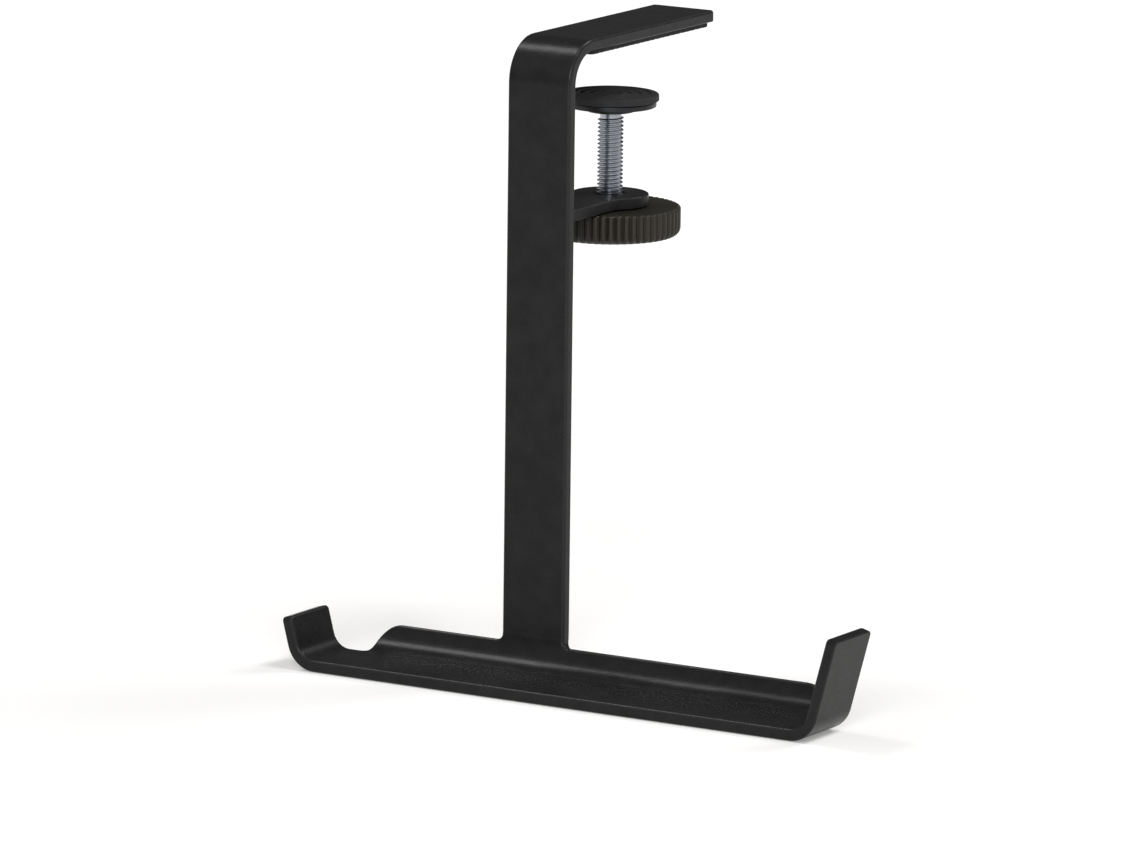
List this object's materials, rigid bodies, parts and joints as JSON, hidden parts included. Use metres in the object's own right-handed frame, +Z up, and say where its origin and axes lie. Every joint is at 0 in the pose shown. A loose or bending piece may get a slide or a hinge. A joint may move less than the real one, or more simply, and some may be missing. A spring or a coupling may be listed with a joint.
{
  "type": "desk bag hook",
  "caption": "Clamp-on desk hook: a bent black metal sheet with a flat top jaw, long upright and cross bar with upturned ends, tightened under the desk by a ribbed knob.",
  "frame": {"origin": "on the clamp screw's axis, on the face of the top jaw's rubber pad that sits on the desk top", "axes": "+X along the desk's edge, to the right as seen from the front; +Y in over the desk, away from the viewer; +Z up"},
  "size_m": [0.1951, 0.118, 0.1965],
  "materials": {
    "powder_coat": "satin black powder coat",
    "jaw_coat": "satin black powder coat",
    "weld": "coated weld bead",
    "nut_zinc": "zinc plated",
    "screw_zinc": "zinc plated",
    "knob_moulding": "moulded, fine vertical ribs",
    "knob_plug": "moulded",
    "plate_oxide": "black oxide",
    "pad_rubber": "moulded rubber",
    "sheet_rubber": "rubber sheet",
    "edge_rubber": "rubber sheet"
  },
  "bodies": {
    "hanger": {"hanger_sheet": "powder_coat", "jaw_bracket": "jaw_coat", "weld_seam_left": "weld", "weld_seam_right": "weld", "jaw_nut": "nut_zinc", "top_jaw_pad": "sheet_rubber", "edge_pad": "edge_rubber"},
    "swivel": {"pressure_plate": "plate_oxide", "pressure_pad": "pad_rubber"},
    "screw": {"clamp_screw": "screw_zinc", "clamp_knob": "knob_moulding", "knob_cap": "knob_plug"}
  },
  "joints": [
    {"name": "clamp_travel", "type": "slide", "parent": "hanger", "child": "swivel", "axis": [0, 0, 1], "range_m": [-0.0251, 0.0001]},
    {"name": "knob_turn", "type": "hinge", "parent": "swivel", "child": "screw", "pos_m": [0, 0, -0.055], "axis": [0, 0, 1], "range_deg": [-7200, 0]}
  ],
  "couplings": [
    {"joint": "clamp_travel", "follows": "knob_turn", "m_per_rad": 0.00019894}
  ]
}
